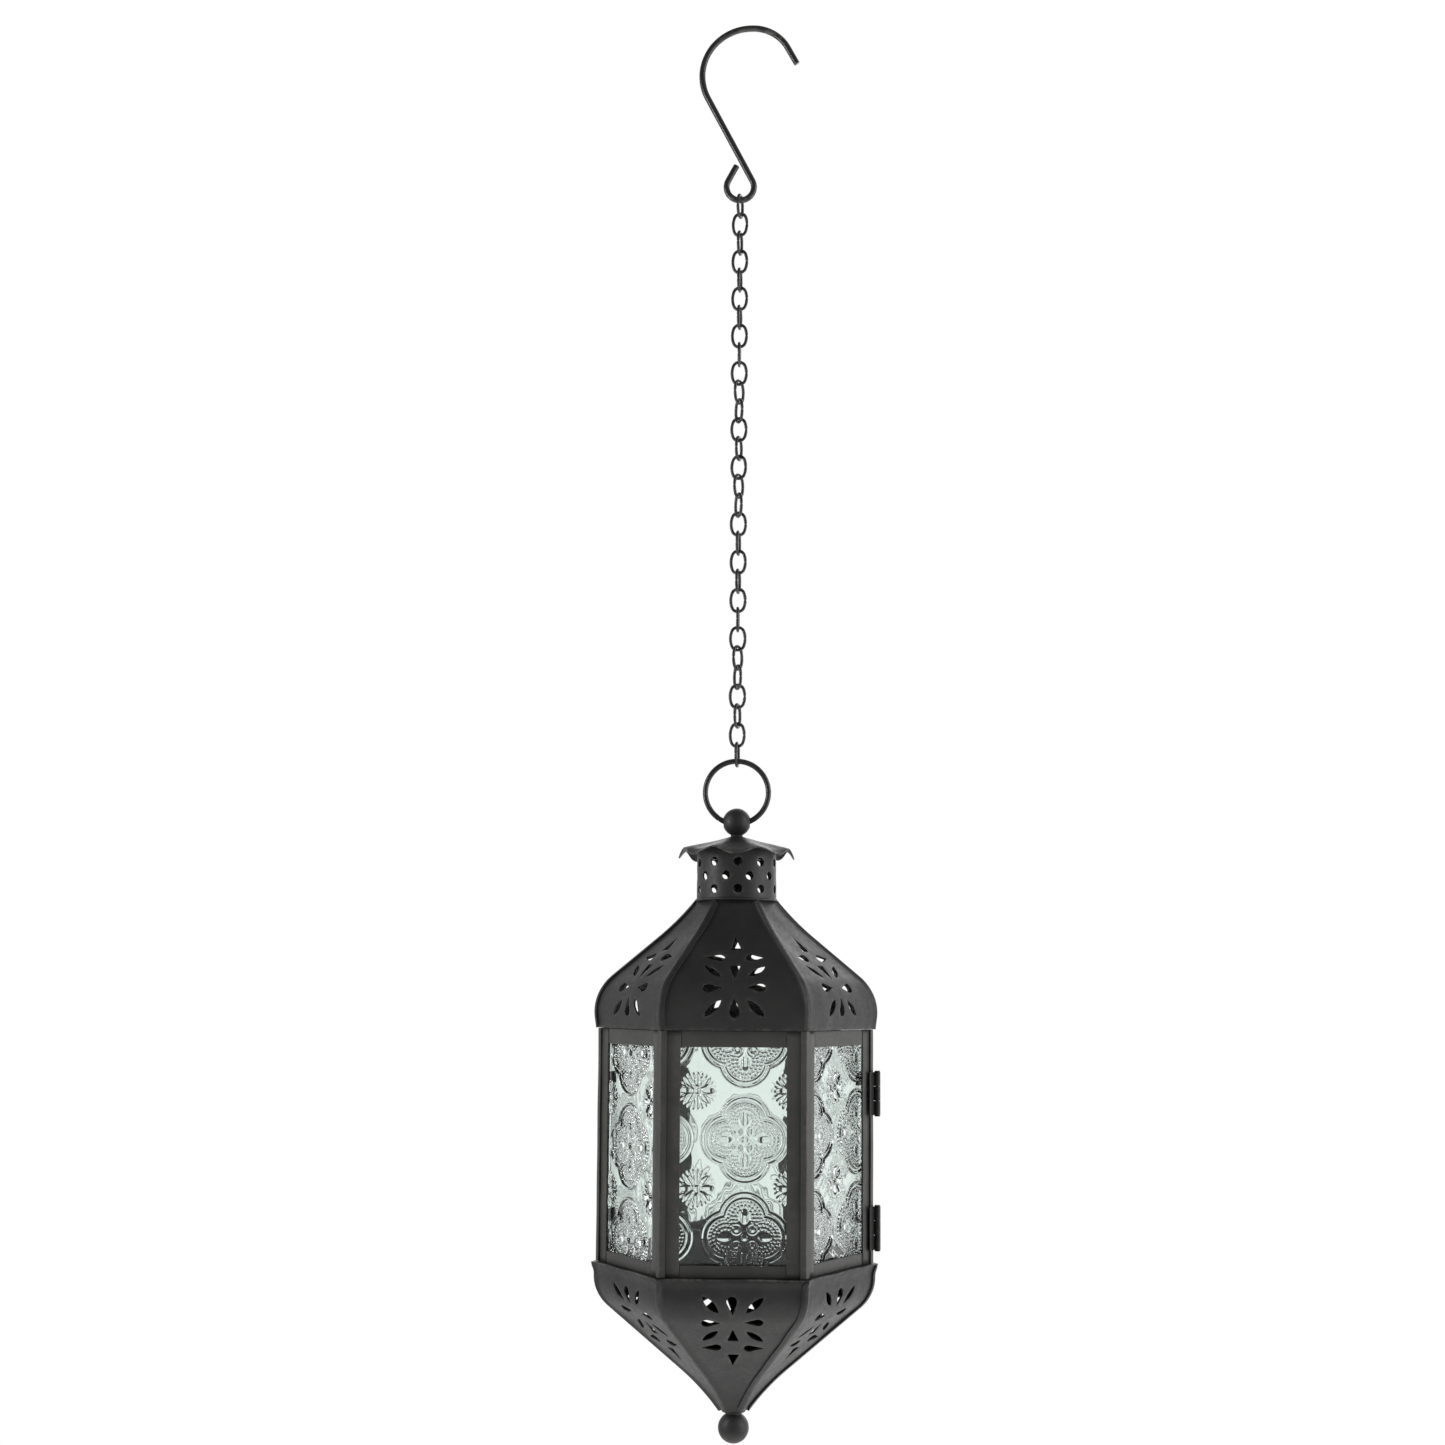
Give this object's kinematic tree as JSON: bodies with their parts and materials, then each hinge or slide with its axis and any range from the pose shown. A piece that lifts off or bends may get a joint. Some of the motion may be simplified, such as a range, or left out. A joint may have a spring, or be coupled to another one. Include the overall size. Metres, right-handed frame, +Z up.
{
  "type": "hanging candle lantern",
  "caption": "Six-sided black metal candle lantern with pressed glass panes, a pierced roof and bowl and a hinged door, hung by a ring and chain from an S-hook.",
  "frame": {"origin": "hook seat: underside of the S-hook's bow, on the lantern's vertical axis", "axes": "+Z up along the chain and the lantern's axis; a glass face looks along -Y; corners at +X and -X; the door's hinges are at +X"},
  "size_m": [0.1185, 0.1016, 0.6006],
  "materials": {
    "black_sheet": "matte",
    "black_frame": "matte",
    "black_wire": "satin",
    "black_hardware": "satin",
    "black_inside": "matte",
    "pressed_glass": "glossy"
  },
  "bodies": {
    "s_hook": {"s_hook": "black_wire"},
    "link_01": {"link_01": "black_wire"},
    "link_02": {"link_02": "black_wire"},
    "link_03": {"link_03": "black_wire"},
    "link_04": {"link_04": "black_wire"},
    "link_05": {"link_05": "black_wire"},
    "link_06": {"link_06": "black_wire"},
    "link_07": {"link_07": "black_wire"},
    "link_08": {"link_08": "black_wire"},
    "link_09": {"link_09": "black_wire"},
    "link_10": {"link_10": "black_wire"},
    "link_11": {"link_11": "black_wire"},
    "link_12": {"link_12": "black_wire"},
    "link_13": {"link_13": "black_wire"},
    "link_14": {"link_14": "black_wire"},
    "link_15": {"link_15": "black_wire"},
    "link_16": {"link_16": "black_wire"},
    "link_17": {"link_17": "black_wire"},
    "link_18": {"link_18": "black_wire"},
    "link_19": {"link_19": "black_wire"},
    "link_20": {"link_20": "black_wire"},
    "link_21": {"link_21": "black_wire"},
    "link_22": {"link_22": "black_wire"},
    "link_23": {"link_23": "black_wire"},
    "link_24": {"link_24": "black_wire"},
    "link_25": {"link_25": "black_wire"},
    "link_26": {"link_26": "black_wire"},
    "link_27": {"link_27": "black_wire"},
    "link_28": {"link_28": "black_wire"},
    "link_29": {"link_29": "black_wire"},
    "link_30": {"link_30": "black_wire"},
    "hanging_ring": {"hanging_ring": "black_wire"},
    "lantern": {"hanger_ball": "black_sheet", "hanger_bolt": "black_hardware", "chimney_bridge": "black_hardware", "scalloped_cap": "black_sheet", "chimney_collar": "black_sheet", "roof_panels": "black_sheet", "corner_posts": "black_frame", "side_frames": "black_frame", "side_glass": "pressed_glass", "side_glass_clips": "black_frame", "hinge_post_leaves": "black_hardware", "hinge_pins": "black_hardware", "door_stop": "black_frame", "latch_rivet": "black_hardware", "floor_plate": "black_inside", "candle_cup": "black_inside", "bowl_panels": "black_sheet", "finial_ball": "black_sheet", "finial_screw": "black_hardware"},
    "door": {"door_frame": "black_frame", "door_glass": "pressed_glass", "door_glass_clips": "black_frame", "hinge_door_leaves": "black_hardware"},
    "latch_button": {"latch_button": "black_hardware"}
  },
  "joints": [
    {"name": "link_01_swing", "type": "hinge", "parent": "s_hook", "child": "link_01", "pos_m": [0, 0, -0.07527], "axis": [1, 0, 0], "range_deg": [-45, 45]},
    {"name": "link_02_swing", "type": "hinge", "parent": "link_01", "child": "link_02", "pos_m": [0, 0, -0.08279], "axis": [0.309, 0.9511, 0], "range_deg": [-45, 45]},
    {"name": "link_03_swing", "type": "hinge", "parent": "link_02", "child": "link_03", "pos_m": [0, 0, -0.091], "axis": [0.9613, -0.2756, 0], "range_deg": [-45, 45]},
    {"name": "link_04_swing", "type": "hinge", "parent": "link_03", "child": "link_04", "pos_m": [0, 0, -0.0992], "axis": [-0.2419, -0.9703, 0], "range_deg": [-45, 45]},
    {"name": "link_05_swing", "type": "hinge", "parent": "link_04", "child": "link_05", "pos_m": [0, 0, -0.1074], "axis": [-0.9781, 0.2079, 0], "range_deg": [-45, 45]},
    {"name": "link_06_swing", "type": "hinge", "parent": "link_05", "child": "link_06", "pos_m": [0, 0, -0.1156], "axis": [0.1736, 0.9848, 0], "range_deg": [-45, 45]},
    {"name": "link_07_swing", "type": "hinge", "parent": "link_06", "child": "link_07", "pos_m": [0, 0, -0.1238], "axis": [0.9848, -0.1736, 0], "range_deg": [-45, 45]},
    {"name": "link_08_swing", "type": "hinge", "parent": "link_07", "child": "link_08", "pos_m": [0, 0, -0.132], "axis": [-0.1736, -0.9848, 0], "range_deg": [-45, 45]},
    {"name": "link_09_swing", "type": "hinge", "parent": "link_08", "child": "link_09", "pos_m": [0, 0, -0.14019], "axis": [-0.9903, 0.1392, 0], "range_deg": [-45, 45]},
    {"name": "link_10_swing", "type": "hinge", "parent": "link_09", "child": "link_10", "pos_m": [0, 0, -0.14839], "axis": [0.0349, 0.9994, 0], "range_deg": [-45, 45]},
    {"name": "link_11_swing", "type": "hinge", "parent": "link_10", "child": "link_11", "pos_m": [0, 0, -0.1566], "axis": [0.9994, -0.0349, 0], "range_deg": [-45, 45]},
    {"name": "link_12_swing", "type": "hinge", "parent": "link_11", "child": "link_12", "pos_m": [0, 0, -0.16479], "axis": [-0.5592, -0.829, 0], "range_deg": [-45, 45]},
    {"name": "link_13_swing", "type": "hinge", "parent": "link_12", "child": "link_13", "pos_m": [0, 0, -0.173], "axis": [-0.4384, 0.8988, 0], "range_deg": [-45, 45]},
    {"name": "link_14_swing", "type": "hinge", "parent": "link_13", "child": "link_14", "pos_m": [0, 0, -0.18119], "axis": [-0.9976, 0.0698, 0], "range_deg": [-45, 45]},
    {"name": "link_15_swing", "type": "hinge", "parent": "link_14", "child": "link_15", "pos_m": [0, 0, -0.1894], "axis": [-0.342, -0.9397, 0], "range_deg": [-45, 45]},
    {"name": "link_16_swing", "type": "hinge", "parent": "link_15", "child": "link_16", "pos_m": [0, 0, -0.19759], "axis": [0.9613, -0.2756, 0], "range_deg": [-45, 45]},
    {"name": "link_17_swing", "type": "hinge", "parent": "link_16", "child": "link_17", "pos_m": [0, 0, -0.2058], "axis": [0.5592, 0.829, 0], "range_deg": [-45, 45]},
    {"name": "link_18_swing", "type": "hinge", "parent": "link_17", "child": "link_18", "pos_m": [0, 0, -0.21399], "axis": [-0.4067, 0.9135, 0], "range_deg": [-45, 45]},
    {"name": "link_19_swing", "type": "hinge", "parent": "link_18", "child": "link_19", "pos_m": [0, 0, -0.2222], "axis": [0.9994, -0.0349, 0], "range_deg": [-45, 45]},
    {"name": "link_20_swing", "type": "hinge", "parent": "link_19", "child": "link_20", "pos_m": [0, 0, -0.23039], "axis": [-0.1736, -0.9848, 0], "range_deg": [-45, 45]},
    {"name": "link_21_swing", "type": "hinge", "parent": "link_20", "child": "link_21", "pos_m": [0, 0, -0.2386], "axis": [-0.9848, 0.1736, 0], "range_deg": [-45, 45]},
    {"name": "link_22_swing", "type": "hinge", "parent": "link_21", "child": "link_22", "pos_m": [0, 0, -0.24679], "axis": [0.2079, 0.9781, 0], "range_deg": [-45, 45]},
    {"name": "link_23_swing", "type": "hinge", "parent": "link_22", "child": "link_23", "pos_m": [0, 0, -0.255], "axis": [0.9903, -0.1392, 0], "range_deg": [-45, 45]},
    {"name": "link_24_swing", "type": "hinge", "parent": "link_23", "child": "link_24", "pos_m": [0, 0, -0.2632], "axis": [-0.0349, -0.9994, 0], "range_deg": [-45, 45]},
    {"name": "link_25_swing", "type": "hinge", "parent": "link_24", "child": "link_25", "pos_m": [0, 0, -0.27139], "axis": [-0.9994, 0.0349, 0], "range_deg": [-45, 45]},
    {"name": "link_26_swing", "type": "hinge", "parent": "link_25", "child": "link_26", "pos_m": [0, 0, -0.27959], "axis": [0.5592, 0.829, 0], "range_deg": [-45, 45]},
    {"name": "link_27_swing", "type": "hinge", "parent": "link_26", "child": "link_27", "pos_m": [0, 0, -0.2878], "axis": [0.4384, -0.8988, 0], "range_deg": [-45, 45]},
    {"name": "link_28_swing", "type": "hinge", "parent": "link_27", "child": "link_28", "pos_m": [0, 0, -0.296], "axis": [0.9976, -0.0698, 0], "range_deg": [-45, 45]},
    {"name": "link_29_swing", "type": "hinge", "parent": "link_28", "child": "link_29", "pos_m": [0, 0, -0.30419], "axis": [0.342, 0.9397, 0], "range_deg": [-45, 45]},
    {"name": "link_30_swing", "type": "hinge", "parent": "link_29", "child": "link_30", "pos_m": [0, 0, -0.31239], "axis": [-0.9613, 0.2756, 0], "range_deg": [-45, 45]},
    {"name": "hanging_ring_swing", "type": "hinge", "parent": "link_30", "child": "hanging_ring", "pos_m": [0, 0, -0.3206], "axis": [-0.1736, -0.9848, 0], "range_deg": [-45, 45]},
    {"name": "lantern_swing", "type": "hinge", "parent": "hanging_ring", "child": "lantern", "pos_m": [0, 0, -0.34427], "axis": [-1, 0, 0], "range_deg": [-35, 35]},
    {"name": "door_swing", "type": "hinge", "parent": "lantern", "child": "door", "pos_m": [0.05856, 0, -0.48387], "axis": [0, 0, -1], "range_deg": [0, 150]},
    {"name": "latch_turn", "type": "hinge", "parent": "lantern", "child": "latch_button", "pos_m": [0.02945, 0.04852, -0.47287], "axis": [-0.866, -0.5, 0], "range_deg": [0, 90]}
  ]
}
